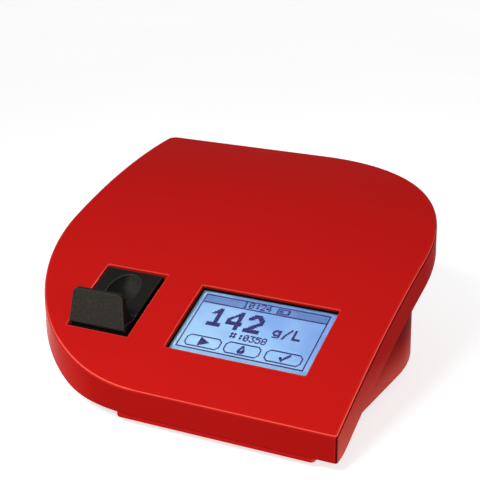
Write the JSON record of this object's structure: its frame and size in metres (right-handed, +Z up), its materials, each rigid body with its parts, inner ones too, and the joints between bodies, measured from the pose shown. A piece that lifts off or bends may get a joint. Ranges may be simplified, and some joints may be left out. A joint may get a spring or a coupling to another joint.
{
  "type": "hemoglobinometer",
  "caption": "Bench-top blood photometer with a leaf-shaped sloping cover, lit display window, level cuvette drawer with finger wall, and rear sockets.",
  "frame": {"origin": "centre of the 160 by 160 mm plan, on the surface that the feet stand on", "axes": "+X to the right of the display, +Y to the back, +Z up"},
  "size_m": [0.16, 0.16, 0.0676],
  "materials": {
    "red_plastic": "satin paint-like moulded surface",
    "foot_rubber": "matt",
    "gasket_foam": "matt foam",
    "screw_steel": "zinc plated",
    "spring_steel": "rolled",
    "can_steel": "tinned",
    "insert_brass": "turned",
    "cell_sleeve": "shrink sleeve",
    "wire_sleeve": "stranded wire's sleeve",
    "circuit_board": "solder mask",
    "chip_plastic": "moulded",
    "socket_plastic": "moulded",
    "ribbon_film": "flat cable film",
    "clear_glass": "clear",
    "lcd_face": "blue-white liquid crystal cell, lit from behind",
    "light_guide": "milky acrylic",
    "drawer_plastic": "fine spark-eroded texture",
    "guide_plastic": "matt black",
    "socket_black": "smooth"
  },
  "bodies": {
    "instrument": {"top_cover": "red_plastic", "base_shell": "red_plastic", "battery_door": "red_plastic", "rubber_feet": "foot_rubber", "display_gasket": "gasket_foam", "cover_screws": "screw_steel", "battery_door_screw": "screw_steel", "main_board_screws": "screw_steel", "guide_screws": "screw_steel", "optic_head_screws": "screw_steel", "sensor_board_screws": "screw_steel", "display_board_screws": "screw_steel", "friction_spring": "spring_steel", "lcd_frame": "can_steel", "threaded_inserts": "insert_brass", "sensor_board_pillars": "insert_brass", "battery_pack": "cell_sleeve", "battery_lead": "wire_sleeve", "battery_plug": "socket_plastic", "main_board": "circuit_board", "display_board": "circuit_board", "led_board": "circuit_board", "sensor_board": "circuit_board", "board_chips": "chip_plastic", "buzzer": "chip_plastic", "coin_cell_holder": "chip_plastic", "photodiode": "chip_plastic", "slot_sensor": "chip_plastic", "coin_cell": "can_steel", "ribbon_sockets": "socket_plastic", "display_ribbon": "ribbon_film", "touch_panel": "clear_glass", "collimating_lens": "clear_glass", "led_lamp": "clear_glass", "lcd_glass": "lcd_face", "backlight_plate": "light_guide", "drawer_guide": "guide_plastic", "optic_head": "guide_plastic", "power_socket": "socket_black", "usb_port": "can_steel", "switch_body": "socket_black"},
    "drawer": {"cuvette_drawer": "drawer_plastic"},
    "rocker": {"switch_rocker": "socket_black"}
  },
  "joints": [
    {"name": "drawer_slide", "type": "slide", "parent": "instrument", "child": "drawer", "axis": [0, -1, 0], "range_m": [0, 0.034]},
    {"name": "power_rocker", "type": "hinge", "parent": "instrument", "child": "rocker", "pos_m": [-0.012, 0.0694, 0.029], "axis": [1, 0, 0], "range_deg": [0, 16]}
  ]
}
